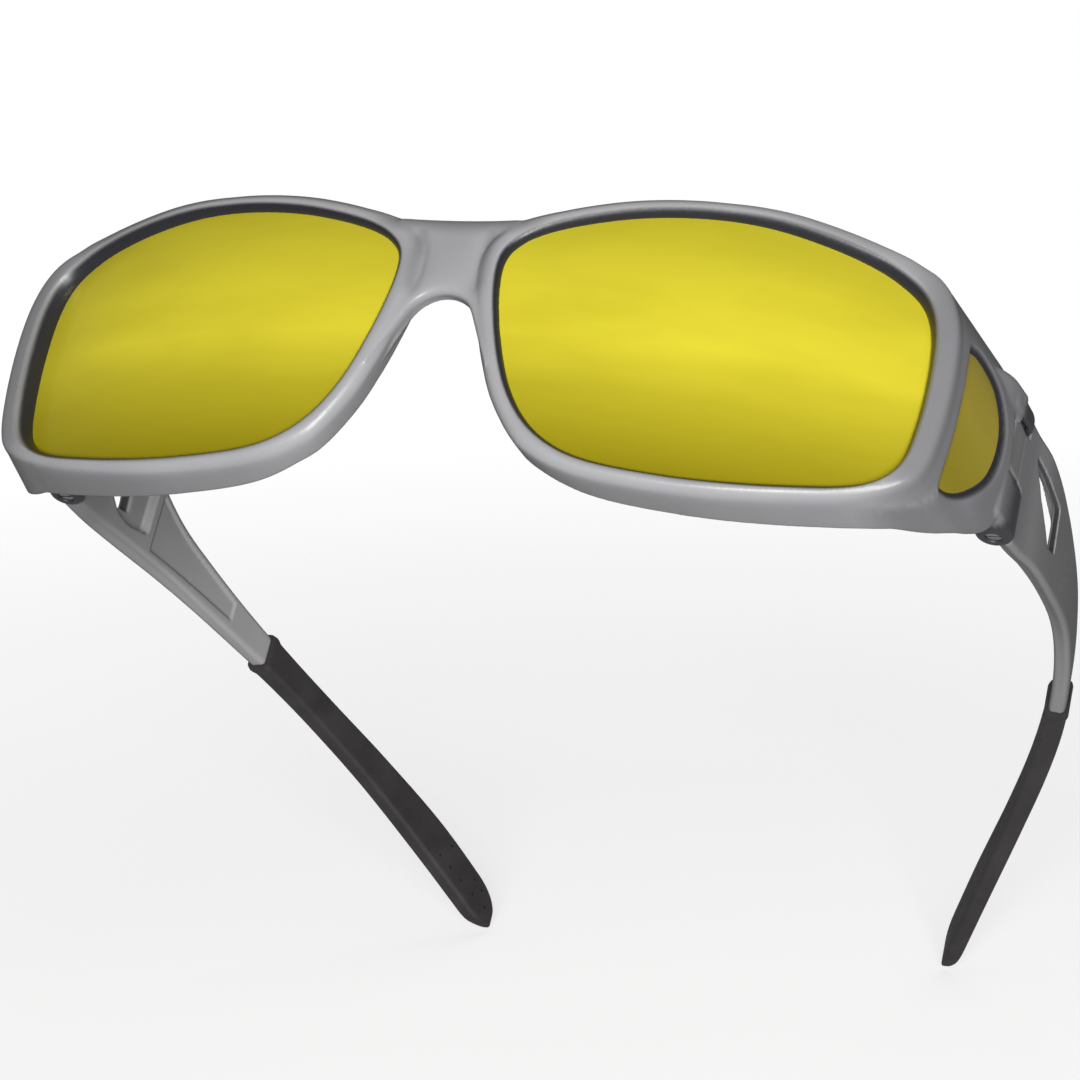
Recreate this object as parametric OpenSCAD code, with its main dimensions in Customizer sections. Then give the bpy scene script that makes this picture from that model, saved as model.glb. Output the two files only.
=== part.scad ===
// Fit-over night driving glasses: a moulded wraparound front with two tinted lenses and two side
// windows, and two hinged temples with soft sleeves. Millimetres. X runs across the face, Y from the
// front to the ears, Z up. Z = 0 is the surface that the folded-open glasses stand on.

/* [Front] */
// Radius of the sweep of the front across the face
front_radius = 327; // [250:1:500]
// Depth that the wrap adds at 60 mm from the middle
wrap_depth = 3.1; // [1:0.1:4]
// Radius of the front from brow to cheek
rise_radius = 237; // [180:1:400]
// Forward lean of the front, degrees
front_lean = 3.2; // [1:0.1:6]
// Thickness of the moulded walls behind the rims
wall = 2.2; // [1.8:0.1:2.4]
// Width of the rim over a lens
rim_top = 3.1; // [2.8:0.1:4]
// Width of the rim under a lens
rim_bottom = 2.8; // [2.7:0.1:3.4]
// Width of the rim beside the nose
rim_nose = 3.6; // [3.2:0.1:4.4]
// Width of the rim at the outer side
rim_side = 4.8; // [4.2:0.1:5.2]
// Height of the rim's crest in front of the lens
crest = 1.5; // [1.2:0.1:1.8]
// Extra height of the crest at the outer side
side_crest = 1.7; // [1:0.1:2]
// Depth of the brow wall
brow_depth = 7; // [5:0.5:10]
// Depth of the cheek wall
cheek_depth = 7; // [5:0.5:10]
// Depth of the wall beside the nose
nose_depth = 4.6; // [4.4:0.1:6]
// Flare of each side shield, degrees
side_flare = 9.4; // [5:0.2:12]
// Splay of the walls beside the nose, degrees
nose_splay = 10; // [4:1:12]

/* [Lenses] */
// Width of a lens opening
lens_w = 63.4; // [60:0.2:65]
// Height of a lens opening
lens_h = 42.4; // [38:0.2:44]
// Distance between the two lens openings
lens_gap = 17; // [15:0.5:22]
// Thickness of a lens
lens_t = 2; // [1.6:0.1:2.4]
// Depth that a lens sits in its groove
lens_seat = 0.8; // [0.5:0.1:1.1]
// Play of a lens in its groove
lens_play = 0.12; // [0.08:0.02:0.2]

/* [Side windows] */
// Height of a side window as a share of the lens opening's height
side_win_rise = 0.538; // [0.42:0.002:0.56]
// Length of a side window
side_win_l = 14; // [10:0.2:15]
// Thickness of a side lens
side_lens_t = 0.8; // [0.6:0.1:0.9]
// Overlap of a side lens behind the edge of its window
side_seat = 0.8; // [0.6:0.1:1]
// Width of the bevel round a side window
side_bevel = 1.2; // [0.6:0.1:1.3]

/* [Hinges] */
// Distance of the hinge axes inside the outer faces of the shields
hinge_inset = 2.5; // [2.4:0.05:2.7]
// Distance of the hinge axes behind the outer edges of the lenses
hinge_back = 27.6; // [27:0.1:29]
// Outer radius of the metal knuckles
knuckle_r = 1.7; // [1.5:0.05:1.8]
// Radius of the hinge screw
screw_r = 0.7; // [0.5:0.05:0.8]
// Running clearance of the screw in the knuckles
screw_play = 0.03; // [0.01:0.01:0.06]
// Radius of the moulded lugs round the knuckles
lug_r = 2.6; // [2.5:0.05:2.9]
// Gap between the moulded parts that turn on each other
turn_gap = 0.35; // [0.3:0.05:0.6]
// Thickness of the metal leaves
leaf_t = 0.9; // [0.6:0.1:1.1]

/* [Temples] */
// Thickness of a temple
temple_t = 3; // [2.6:0.1:3.6]
// Length of a temple behind its hinge
temple_l = 133; // [125:1:145]
// Length of a temple in front of its soft sleeve
bare_l = 71; // [66:1:76]
// Thickness of the soft sleeve round the temple's tail
sleeve_t = 0.9; // [0.7:0.1:1.2]
// Play between the sleeve and the tail
sleeve_play = 0.1; // [0.05:0.05:0.2]

/* [Hidden] */
grey = [0.5, 0.5, 0.52];
cream = [0.86, 0.80, 0.20];
steel = [0.75, 0.76, 0.78];
rubber = [0.16, 0.15, 0.16];

// The lens opening's outline, seen from the front, from its inner lower corner. It runs over the brow
// to the nose and back under the cheek, and is stretched to the opening's width and height.
LENS_SHAPE = [[63.3, 30.4], [57.5, 37.2], [43.6, 41.3], [30.6, 42.4], [15.6, 40.7], [2.8, 36.2],
    [0.1, 28.7], [5.3, 11.3], [14.6, 2.4], [30.6, 0], [47.6, 1.3], [60, 5.3], [63.5, 14.4]];
curve_steps = 5;

// The side window's outline, seen from the side, from its lower front corner, stretched in the same way
SIDE_SHAPE = [[0, 19.6], [1.9, 22.3], [6.2, 22.7], [11, 21.1], [13.8, 15.9], [12.7, 8.6],
    [7.4, 2.6], [2.4, 0], [0.5, 2.1]];

// A temple seen from the side and from above: distance behind the hinge axis, shift outward from
// the axis, height of the lower edge, height of the upper edge, share of the full thickness, and
// rise of the bevel along the inner lower edge
TEMPLE_CURVE = [
    [-5.6, 0.3, 14.6, 37.6, 1, 0.6], [6, 0.9, 16, 37.5, 1, 0.6],
    [15, 1.7, 17.7, 37.5, 1.08, 0.7], [27, 1.7, 19.6, 36, 1.04, 0.9],
    [40, 1.1, 21.4, 32.8, 1.02, 0.7], [52, -0.6, 22, 30.8, 0.96, 0.4],
    [65, -3.4, 21.7, 28.4, 0.96, 0.2], [78, -7.2, 20.5, 25.8, 0.96, 0.1],
    [90, -11.8, 17.8, 23, 0.86, 0], [103, -17.9, 13.2, 19.2, 0.75, 0],
    [118, -25.8, 6, 13.2, 0.7, 0], [133, -33.8, -1.9, 4.9, 0.66, 0]];
// The opening through a temple behind its hinge: distance behind the axis and height
TEMPLE_WINDOW = [[6.2, 33.4], [21.9, 32.6], [22.6, 25], [18.3, 23.9], [11.5, 28.2]];
window_round = 0.6;

lens_mid_z = rim_bottom + lens_h / 2;
side_x = lens_gap / 2 + lens_w;
groove_play = 0.1;
fit_play = 0.1;
eps = 0.01;

// Where the parts of the hinge meet: the lower lug, the temple's knuckle and the upper lug
lug_low = lens_mid_z - 9;
lug_top = lens_mid_z + 14;
split_low = lens_mid_z + 1;
split_high = lens_mid_z + 9.6;
knuckle_gap = 0.1;
hinge_y = face_y(side_x, lens_mid_z) + hinge_back;
shield_rear = hinge_y - 5.8;
// The lower lug's floor, which holds the screw's head, the upper lug's roof, and the metal plate's ends
lug_floor = 1.2;
lug_roof = 0.8;
plate_low = lug_low + lug_floor + 0.6;
plate_high = lug_top - lug_roof - 0.6;
leaf_l = 2.9;
head_r = 1.2;
head_h = 0.8;
slot_w = 0.35;
slot_d = 0.4;

// Distance of the lens's front surface behind the middle of the front
function face_y(x, z) = x * x / (2 * front_radius) + wrap_depth * pow(abs(x) / 60, 4)
    - tan(front_lean) * (z - lens_mid_z) + pow(z - lens_mid_z, 2) / (2 * rise_radius);

// Smooth curve through points
function curve_point(a, b, c, d, t) = 0.5 * (2 * b + (c - a) * t + (2 * a - 5 * b + 4 * c - d) * t * t
    + (3 * b - a - 3 * c + d) * t * t * t);
function closed_curve(p, steps) = let (n = len(p)) [for (i = [0:n - 1]) for (k = [0:steps - 1])
    curve_point(p[(i + n - 1) % n], p[i], p[(i + 1) % n], p[(i + 2) % n], k / steps)];
// Smooth outline through points, stretched to a width and a height from a lower corner
function stretched(p, steps, w, h, corner) = let (
        c = closed_curve(p, steps), x = [for (q = c) q[0]], y = [for (q = c) q[1]],
        kx = w / (max(x) - min(x)), ky = h / (max(y) - min(y)))
    [for (q = c) corner + [(q[0] - min(x)) * kx, (q[1] - min(y)) * ky]];
function open_curve_at(p, i, t) = let (n = len(p))
    curve_point(p[max(i - 1, 0)], p[i], p[min(i + 1, n - 1)], p[min(i + 2, n - 1)], t);
function centre(ring) = [for (k = [0:2]) let (v = [for (q = ring) q[k]]) v * [for (q = v) 1] / len(v)];

// Closed solid through rings of points that lie one behind the other
module skin(rings, loop = false) {
    n = len(rings[0]);
    m = len(rings);
    last = loop ? m - 1 : m - 2;
    points = [for (r = rings) each r, if (!loop) centre(rings[0]), if (!loop) centre(rings[m - 1])];
    sides = [for (i = [0:last]) for (j = [0:n - 1])
        let (next = (j + 1) % n, far = ((i + 1) % m) * n, a = i * n + j, b = i * n + next,
            c = far + j, d = far + next)
        each [[a, b, d], [a, d, c]]];
    ends = loop ? [] : [for (j = [0:n - 1]) each [[m * n, (j + 1) % n, j],
        [m * n + 1, (m - 1) * n + j, (m - 1) * n + (j + 1) % n]]];
    polyhedron(points = points, faces = concat(sides, ends), convexity = 8);
}

// Mirrors its children to the wearer's other side
module other_side() { mirror([1, 0, 0]) children(); }

// Outline of the lens opening on the right side, and its outward directions
lens_edge = stretched(LENS_SHAPE, curve_steps, lens_w, lens_h, [lens_gap / 2, rim_bottom]);
edge_n = len(lens_edge);
lens_out = [for (i = [0:edge_n - 1])
    let (t = lens_edge[(i + 1) % edge_n] - lens_edge[(i + edge_n - 1) % edge_n]) [t[1], -t[0]] / norm(t)];
function moved_edge(d) = [for (i = [0:edge_n - 1]) lens_edge[i] + d * lens_out[i]];

// Rim width and wall depth by the direction that the rim faces, in degrees: 0 outward, 90 up, 180 nose
RIM_WIDTH = [[-180, rim_nose + 0.5], [-172, rim_nose + 0.3], [-160, rim_nose - 0.2],
    [-145, rim_nose - 0.3], [-130, rim_nose - 0.1], [-110, rim_bottom + 0.2], [-95, rim_bottom],
    [-72, rim_bottom], [-60, rim_bottom + 0.3], [-30, rim_side], [40, rim_side], [70, rim_top + 0.4],
    [90, rim_top], [108, rim_top + 0.2], [128, rim_nose + 0.7], [150, rim_nose + 0.7],
    [180, rim_nose + 0.5]];
side_depth = shield_rear - face_y(side_x, lens_mid_z);
WALL_DEPTH = [[-180, nose_depth], [-120, nose_depth], [-85, cheek_depth], [-60, cheek_depth + 1.5],
    [-30, 0.62 * side_depth], [-8, side_depth], [46, side_depth], [58, 0.5 * side_depth], [75, brow_depth],
    [130, brow_depth], [180, nose_depth]];
// The hinge axis stands a little inside the rear end of the shield's outer face
hinge_x = side_x + rim_side + side_depth * tan(side_flare) - hinge_inset;
function rim_w(i) = lookup(atan2(lens_out[i][1], lens_out[i][0]), RIM_WIDTH);

// How much a place of the outline belongs to the outer side, from 0 to 1
function outer_share(n) = min(max(1.3 * n[0], 0), 1);

// Cross-section of the rim at one place of the outline: crest, outer wall, inner wall, then the lens groove
function rim_ring(i) = let (
        p = lens_edge[i], n = lens_out[i], side = outer_share(n), w = rim_w(i),
        deep = lookup(atan2(n[1], n[0]), WALL_DEPTH), high = crest + side_crest * side,
        splay = n[0] > 0 ? side * tan(side_flare) : -n[0] * tan(nose_splay),
        y0 = face_y(p[0], p[1]), back = lens_t + groove_play, bed = lens_seat + lens_play,
        body = [[0.1 + 0.3 * side, -0.4 * high], [0.9 + 0.8 * side, -0.96 * high], [0.5 * w + 0.3, -high],
            [0.85 * w, -(0.55 + 0.35 * side) * high], [w - 0.1, 0.1 - 0.5 * side * high], [w, 1.6],
            [w, deep - 0.6], [w - 0.5, deep], [w - wall + 0.4, deep], [w - wall, deep - 0.5],
            [w - wall, back + 1.6]],
        groove = [[0.3, back + 1.2], [0.3, back], [bed, back], [bed, -groove_play], [0, -groove_play]])
    concat([for (q = body) [p[0] + q[0] * n[0] + splay * max(q[1], 0), y0 + q[1], p[1] + q[0] * n[1]]],
        [for (q = groove) let (x = p[0] + q[0] * n[0], z = p[1] + q[0] * n[1]) [x, face_y(x, z) + q[1], z]]);

// Bridge between the rims, as slices across the nose
bridge_half = 9.7;
bridge_top = 42.8;
bridge_drop = 0.2;
bridge_t = 3.3;
bridge_dish = 0.9;
bridge_slices = 12;
// The arch is round at its top and goes over into the straight legs beside the nose
arch_top = 29.6;
arch_r = 5.65;
leg_steep = 65;
function arch_z(x) = let (turn = arch_r * sin(leg_steep))
    x < turn ? arch_top - arch_r + sqrt(arch_r * arch_r - x * x)
    : arch_top - arch_r * (1 - cos(leg_steep)) - tan(leg_steep) * (x - turn);
function bridge_slice(x) = let (
        end = pow(x / bridge_half, 2), top = bridge_top - bridge_drop * end, low = arch_z(abs(x)),
        dish = bridge_dish * (1 - end) - crest)
    [for (q = [[1.2, top], [0.4, top - 0.5], [0.05, top - 1.5], [0.15, (top + low) / 2], [0, low + 1.6],
            [0.2, low + 0.5], [0.9, low], [bridge_t - 1, low + 0.3], [bridge_t, low + 1.2],
            [bridge_t, top - 1.2], [bridge_t - 0.8, top - 0.2]])
        [x, face_y(x, q[1]) + dish + q[0], q[1]]];

module bridge() {
    xs = [for (k = [0:bridge_slices]) bridge_half * (2 * k / bridge_slices - 1)];
    difference() {
        for (k = [0:bridge_slices - 1]) hull() skin([bridge_slice(xs[k]), bridge_slice(xs[k + 1])]);
        for (side = [0, 1]) mirror([side, 0, 0]) opening_block(1.5);
    }
}

// Block that fills a lens opening, grown outward by d
module opening_block(d) {
    rotate([90, 0, 0]) linear_extrude(2 * shield_rear, center = true) polygon(moved_edge(d));
}

// Moves its children onto the side shield: local x = 0 is its outer face, local y = 0 its rear edge
module on_shield() {
    translate([side_x + rim_side + side_depth * tan(side_flare), shield_rear, 0])
        rotate([0, 0, -side_flare]) children();
}

// Outer face of the side shield at a depth and a height
side_places = [for (i = [0:edge_n - 1]) if (lens_out[i][0] > 0.3) i];
shield_z = [for (i = side_places) lens_edge[i][1] + rim_w(i) * lens_out[i][1]];
shield_fronts = [for (k = [0:len(side_places) - 1]) let (i = side_places[k])
    [shield_z[k], lens_edge[i][0] + rim_w(i) * lens_out[i][0]]];
shield_slopes = [for (k = [0:len(side_places) - 1])
    [shield_z[k], outer_share(lens_out[side_places[k]]) * tan(side_flare)]];
shield_starts = [for (k = [0:len(side_places) - 1]) let (p = lens_edge[side_places[k]])
    [shield_z[k], face_y(p[0], p[1])]];
function shield_x(y, z) = lookup(z, shield_fronts)
    + lookup(z, shield_slopes) * (y - lookup(z, shield_starts));

// Curved plate in the shield: the side window's outline, between two shifts from the outer face, grown by
// d_in at the inner one and by d_out at the outer one
win_front = face_y(side_x, lens_mid_z) + 3.4;
side_win_h = side_win_rise * lens_h;
win_low = lens_mid_z - 0.04 * lens_h - side_win_h / 2;
win_margin = 3;
side_curve = stretched(SIDE_SHAPE, 4, side_win_l, side_win_h, [0, 0]);
side_n = len(side_curve);
side_lens_out = -0.9;
lip_t = 0.3;
function side_edge(d) = [for (i = [0:side_n - 1])
    let (t = side_curve[(i + 1) % side_n] - side_curve[(i + side_n - 1) % side_n])
    side_curve[i] + d * [-t[1], t[0]] / norm(t)];
module side_plate(d_in, d_out, in, out) {
    mid = [side_win_l / 2, side_win_h / 2];
    skin([for (q = [[0.06, in, d_in], [0.6, in, d_in], [1, in, d_in], [1, out, d_out], [0.6, out, d_out],
            [0.06, out, d_out]])
        [for (e = side_edge(q[2])) let (p = mid + q[0] * (e - mid), y = win_front + p[0], z = win_low + p[1])
            [shield_x(y, z) + q[1], y, z]]]);
}

// Moulded lug round a metal knuckle, joined to the rear edge of the shield
module lug(z0, z1) {
    translate([0, 0, z0]) hull() {
        translate([hinge_x, hinge_y, 0]) cylinder(r = lug_r, h = z1 - z0, $fn = 32);
        on_shield() translate([-wall / 2, -1, 0]) cylinder(r = wall / 2, h = z1 - z0, $fn = 24);
    }
}

// Seat of the front leaf: the knuckles' bore, the room inside them, the head's bore and the plate's room
module front_leaf_seat() {
    seat_low = lug_low + lug_floor;
    seat_h = lug_top - lug_roof - seat_low;
    translate([hinge_x, hinge_y, 0]) {
        translate([0, 0, seat_low]) cylinder(r = knuckle_r + fit_play, h = seat_h, $fn = 32);
        translate([-lug_r - 1, -knuckle_r - fit_play, seat_low])
            cube([lug_r + 1, 2 * (knuckle_r + fit_play) + lug_r, seat_h]);
        translate([0, 0, lug_low - 1]) cylinder(r = head_r + fit_play, h = lug_floor + 1 + eps, $fn = 32);
    }
    on_shield() translate([-wall - 4, -leaf_l - fit_play, plate_low - fit_play])
        cube([leaf_t + 4 + fit_play, leaf_l + hinge_y - shield_rear, plate_high - plate_low + 2 * fit_play]);
}

module front_side() {
    skin([for (i = [edge_n - 1:-1:0]) rim_ring(i)], loop = true);
    lug(lug_low, split_low - turn_gap);
    lug(split_high + turn_gap, lug_top);
}

module front_frame() {
    color(grey) difference() {
        union() {
            for (side = [0, 1]) mirror([side, 0, 0]) front_side();
            bridge();
        }
        for (side = [0, 1]) mirror([side, 0, 0]) {
            side_plate(0, 0, -wall - win_margin, win_margin);
            side_plate(side_bevel, side_bevel, 0.04, win_margin);
            side_plate(0, side_bevel, side_lens_out + groove_play + lip_t, 0.15);
            side_plate(side_seat + lens_play, side_seat + lens_play,
                side_lens_out - side_lens_t - groove_play, side_lens_out + groove_play);
            front_leaf_seat();
        }
    }
}

// Curved plate inside an outline, with its front on the lens surface
module lens_right() {
    color(cream) {
        edge = moved_edge(lens_seat);
        mid = [lens_gap / 2 + lens_w / 2, lens_mid_z];
        skin([for (q = [[0.02, 0], [0.55, 0], [1, 0], [1, lens_t], [0.55, lens_t], [0.02, lens_t]])
            [for (e = edge) let (p = mid + q[0] * (e - mid)) [p[0], face_y(p[0], p[1]) + q[1], p[1]]]]);
    }
}
module lens_left() { other_side() lens_right(); }

module side_lens_right() {
    color(cream) side_plate(side_seat, side_seat, side_lens_out - side_lens_t, side_lens_out);
}
module side_lens_left() { other_side() side_lens_right(); }

// Metal leaf in the front: two knuckles with a plate let into the inside of the shield
module knuckle(z0, z1) {
    translate([hinge_x, hinge_y, z0]) cylinder(r = knuckle_r, h = z1 - z0, $fn = 32);
}
module screw_bore() {
    translate([hinge_x, hinge_y, lug_low - 1])
        cylinder(r = screw_r + screw_play, h = lug_top + 2 - lug_low, $fn = 32);
}
module front_leaf_right() {
    color(steel) difference() {
        union() {
            knuckle(lug_low + lug_floor, split_low - knuckle_gap);
            knuckle(split_high + knuckle_gap, lug_top - lug_roof - fit_play);
            on_shield() translate([-wall, -leaf_l, plate_low])
                cube([leaf_t, leaf_l, plate_high - plate_low]);
            for (z = [[plate_low, split_low - knuckle_gap], [split_high + knuckle_gap, plate_high]])
                on_shield() translate([-wall, -1, z[0]])
                    cube([leaf_t, hinge_y - shield_rear, z[1] - z[0]]);
        }
        screw_bore();
    }
}
module front_leaf_left() { other_side() front_leaf_right(); }

// Metal leaf in the temple: one knuckle with a plate let into the inside of the temple
temple_leaf_l = 5.4;
module temple_leaf_right() {
    color(steel) difference() {
        union() {
            knuckle(split_low + knuckle_gap, split_high - knuckle_gap);
            translate([temple_inner_x, hinge_y, split_low + 0.8])
                cube([leaf_t, temple_leaf_l, split_high - split_low - 1.6]);
        }
        screw_bore();
    }
}
module temple_leaf_left() { other_side() temple_leaf_right(); }
temple_inner_x = hinge_x - 0.9;

// Hinge screw, its slotted head let into the floor of the lower lug
module hinge_screw_right() {
    color(steel) translate([hinge_x, hinge_y, lug_low + lug_floor]) difference() {
        union() {
            translate([0, 0, -eps])
                cylinder(r = screw_r, h = lug_top - lug_roof - lug_low - lug_floor - 0.4, $fn = 32);
            translate([0, 0, -head_h]) cylinder(r = head_r, h = head_h, $fn = 32);
        }
        translate([-head_r - 1, -slot_w / 2, -head_h - 1]) cube([2 * head_r + 2, slot_w, 1 + slot_d]);
    }
}
module hinge_screw_left() { other_side() hinge_screw_right(); }

// Cross-section of a temple at distance s behind the hinge axis, grown by d all round
temple_scale = temple_l / TEMPLE_CURVE[len(TEMPLE_CURVE) - 1][0];
function temple_at(u) = let (i = min(floor(u), len(TEMPLE_CURVE) - 2)) open_curve_at(TEMPLE_CURVE, i, u - i);
function temple_slope(u) = let (h = 0.02, a = temple_at(max(u - h, 0)),
        b = temple_at(min(u + h, len(TEMPLE_CURVE) - 1)))
    (b[1] - a[1]) / (b[0] - a[0]);
corner_r = 0.9;
function temple_ring(u, d, shrink = 1) = let (
        c = temple_at(u), k = sqrt(1 + pow(temple_slope(u), 2)),
        half_t = (temple_t * c[4] / 2 + d) * k * shrink,
        half_h = ((c[3] - c[2]) / 2 + d) * shrink, r = min(corner_r, half_t * 0.8, half_h * 0.8))
    [for (corner = [[1, 1, 0, 0], [-1, 1, 90, 0], [-1, -1, 180, c[5]], [1, -1, 270, 0]])
        for (a = [0, 45, 90])
        [hinge_x + c[1] + corner[0] * (half_t - r) + r * cos(corner[2] + a),
         hinge_y + (c[0] > 0 ? c[0] * temple_scale : c[0]),
         (c[2] + c[3]) / 2 + corner[1] * (half_h - r) + r * sin(corner[2] + a) + corner[3]]];

curve_n = len(TEMPLE_CURVE) - 1;
ring_step = 0.36;
sleeve_step = 0.4;
tail_inset = sleeve_t + sleeve_play - sleeve_step;
sleeve_row = 6;
sleeve_from = TEMPLE_CURVE[sleeve_row][0];
sleeve_reach = TEMPLE_CURVE[sleeve_row + 1][0] - sleeve_from;
sleeve_u = sleeve_row + (bare_l / temple_scale - sleeve_from) / sleeve_reach;
tail_u = curve_n - 0.35;
cavity_u = curve_n - 0.3;
// Rounds the end of the sleeve over its last stretch
round_u = 0.45;
function end_round(u) = let (t = max(0, (u - (curve_n - round_u)) / round_u)) sqrt(max(1 - t * t, 0.01));
function spread(a, b) = let (n = ceil((b - a) / ring_step)) [for (i = [0:n]) a + (b - a) * i / n];

module temple_right() {
    color(grey) difference() {
        skin(concat([for (u = spread(0, sleeve_u)) temple_ring(u, 0)],
            [for (u = spread(sleeve_u + eps, tail_u)) temple_ring(u, -tail_inset)]));
        translate([0, hinge_y, 0]) rotate([90, 0, 90]) linear_extrude(2 * hinge_x)
            offset(window_round, $fn = 12) offset(delta = -window_round) polygon(TEMPLE_WINDOW);
        hinge_room();
    }
}
module temple_left() { other_side() temple_right(); }

// What the front and the metal leaves need at the front end of a temple
room_half = 10;
room_l = 20;
module room_block(half_out, back, h) {
    translate([-room_half, -room_l, 0]) cube([room_half + half_out, room_l + back, h]);
}
module hinge_room() {
    reach = hinge_y - shield_rear;
    translate([hinge_x, hinge_y, 0]) {
        // Room for the lugs
        for (z = [[-1, split_low], [split_high, lug_top + 5]]) translate([0, 0, z[0]]) {
            cylinder(r = lug_r + turn_gap, h = z[1] - z[0], $fn = 48);
            room_block(room_half, 0, z[1] - z[0]);
        }
        // Rounded front face
        difference() {
            room_block(room_half, 0, lug_top + 5);
            translate([0, 0, -1]) cylinder(r = reach - turn_gap, h = lug_top + 7, $fn = 64);
        }
        // Room for the knuckle and its plate
        translate([0, 0, split_low - 1]) {
            cylinder(r = knuckle_r + fit_play, h = split_high - split_low + 2, $fn = 48);
            room_block(0, knuckle_r + fit_play, split_high - split_low + 2);
        }
    }
    plate_h = split_high - split_low - 1.6 + 2 * fit_play;
    translate([temple_inner_x - room_half, hinge_y, split_low + 0.8 - fit_play])
        cube([room_half + leaf_t + fit_play, temple_leaf_l + fit_play, plate_h]);
}

module sleeve_right() {
    color(rubber) skin(concat(
        [for (u = spread(sleeve_u, cavity_u)) temple_ring(sleeve_u + cavity_u - u, sleeve_step - sleeve_t)],
        [for (u = spread(sleeve_u, curve_n)) temple_ring(u, sleeve_step, end_round(u))]));
}
module sleeve_left() { other_side() sleeve_right(); }

// The part stands with the middle of its base at the origin
front_y = face_y(0, lens_mid_z + lens_h / 2) - crest;
rear_y = hinge_y + temple_l;
module placed() { translate([0, -(front_y + rear_y) / 2, 0]) children(); }

placed() front_frame();
placed() lens_right();
placed() lens_left();
placed() side_lens_right();
placed() side_lens_left();
placed() front_leaf_right();
placed() front_leaf_left();
placed() temple_leaf_right();
placed() temple_leaf_left();
placed() hinge_screw_right();
placed() hinge_screw_left();
placed() temple_right();
placed() temple_left();
placed() sleeve_right();
placed() sleeve_left();
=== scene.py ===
import math

import bpy
import numpy as np
from bpy.props import FloatProperty, FloatVectorProperty, PointerProperty
from mathutils import Matrix, Vector


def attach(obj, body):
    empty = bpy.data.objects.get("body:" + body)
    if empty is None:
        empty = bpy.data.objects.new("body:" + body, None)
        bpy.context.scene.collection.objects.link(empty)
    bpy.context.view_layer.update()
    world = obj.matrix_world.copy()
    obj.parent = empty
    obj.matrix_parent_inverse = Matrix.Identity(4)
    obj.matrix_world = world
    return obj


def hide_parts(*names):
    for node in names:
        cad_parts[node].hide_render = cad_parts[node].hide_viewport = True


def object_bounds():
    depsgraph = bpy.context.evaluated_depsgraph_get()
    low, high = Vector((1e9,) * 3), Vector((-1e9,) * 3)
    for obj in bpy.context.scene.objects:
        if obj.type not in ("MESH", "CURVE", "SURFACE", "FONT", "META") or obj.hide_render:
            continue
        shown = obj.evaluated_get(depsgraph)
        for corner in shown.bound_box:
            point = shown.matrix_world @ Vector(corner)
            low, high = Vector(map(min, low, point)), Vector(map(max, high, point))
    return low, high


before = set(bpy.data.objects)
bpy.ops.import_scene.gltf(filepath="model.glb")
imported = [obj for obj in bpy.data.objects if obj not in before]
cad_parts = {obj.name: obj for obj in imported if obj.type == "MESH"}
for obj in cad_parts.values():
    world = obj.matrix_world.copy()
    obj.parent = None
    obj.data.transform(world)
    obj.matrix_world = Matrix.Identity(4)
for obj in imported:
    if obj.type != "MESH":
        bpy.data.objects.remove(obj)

bl_info = {
    "name": "Night driving glasses",
    "version": (1, 0, 0),
    "blender": (4, 5, 0),
    "location": "View3D > Sidebar > Glasses",
    "description": "Fit-over driving glasses with a moulded front, mirrored lenses and soft temple sleeves",
    "category": "Object",
}

CAD_BOX = [list(corner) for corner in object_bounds()]
MM = 0.001
MOST_TRIANGLES = 190000

# Camera, what the lamps shine at, and the lamps as seen from there, in metres
CAMERA_PLACE = (0.2261, -0.5471, -0.2581)
CAMERA_RIGHT = (0.932, 0.2953, 0.2102)
CAMERA_FORWARD = (-0.36, 0.8222, 0.4409)
LIT_PLACE = (0, 0, 0.02)
FRONT_LAMP, FRONT_LAMP_SIZE = (0.34, -0.84, -0.48), 0.4
TOP_LAMP, TOP_LAMP_SIZE = (0.1, 0.1, 1.0), 0.8
FLOOR_SIZE, FLOOR_GAP = 1.4, 0.0004

# Plays and small sizes, in millimetres
LENS_PLAY, GROOVE_PLAY = 0.12, 0.1
LIP_DEPTH = 0.45
SHIELD_TO_HINGE = 5.8
WINDOW_LENGTH, WINDOW_SETBACK = 14, 3.4
LUG_RADIUS, LUG_SLOPE = 3.0, 0.1
KNUCKLE_ROOM = 1.8
TEMPLE_GAP = 0.25
TAIL_INSET = 0.6
THIN_WALL = 1.4
PANEL_DEPTH = 0.32
HOLE_RADIUS, HOLE_LENGTH = 0.3, 1.3
SLEEVE_GROWTH, SLEEVE_LIP, TIP_TURN = 0.4, 0.22, 0.15
# Heights and insets of the rounded lugs, from below
LOWER_LUG = ((15, 1.1), (15.2, 0.5), (15.8, 0), (23.0, 0), (24.0, 0.3), (24.65, 0.9))
UPPER_LUG = ((33.95, 0.5), (34.1, 0.15), (34.4, 0), (36.2, 0), (37.1, 0.25), (37.6, 0.6), (37.9, 1.1))

# Lens opening seen from the front, from its inner lower corner, in millimetres
LENS_SHAPE = [(63.3, 30.4), (57.5, 37.2), (43.6, 41.3), (30.6, 42.4), (15.6, 40.7), (2.8, 36.2),
              (0.1, 28.7), (5.3, 11.3), (14.6, 2.4), (30.6, 0), (47.6, 1.3), (60, 5.3), (63.5, 14.4)]
# Side window seen from the side, from its lower front corner
SIDE_SHAPE = [(0, 19.6), (1.9, 22.3), (6.2, 22.7), (11, 21.1), (13.8, 15.9), (12.7, 8.6),
              (7.4, 2.6), (2.4, 0), (0.5, 2.1)]
# Bridge: distance from the middle and depth behind the crests
BRIDGE_DISH = [(0, 0.35), (2, 0.4), (3.6, 0.6), (4.6, 1.1), (5.8, 1.9), (6.6, 1.9), (7.6, 1.4), (9.7, 0.3)]
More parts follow.
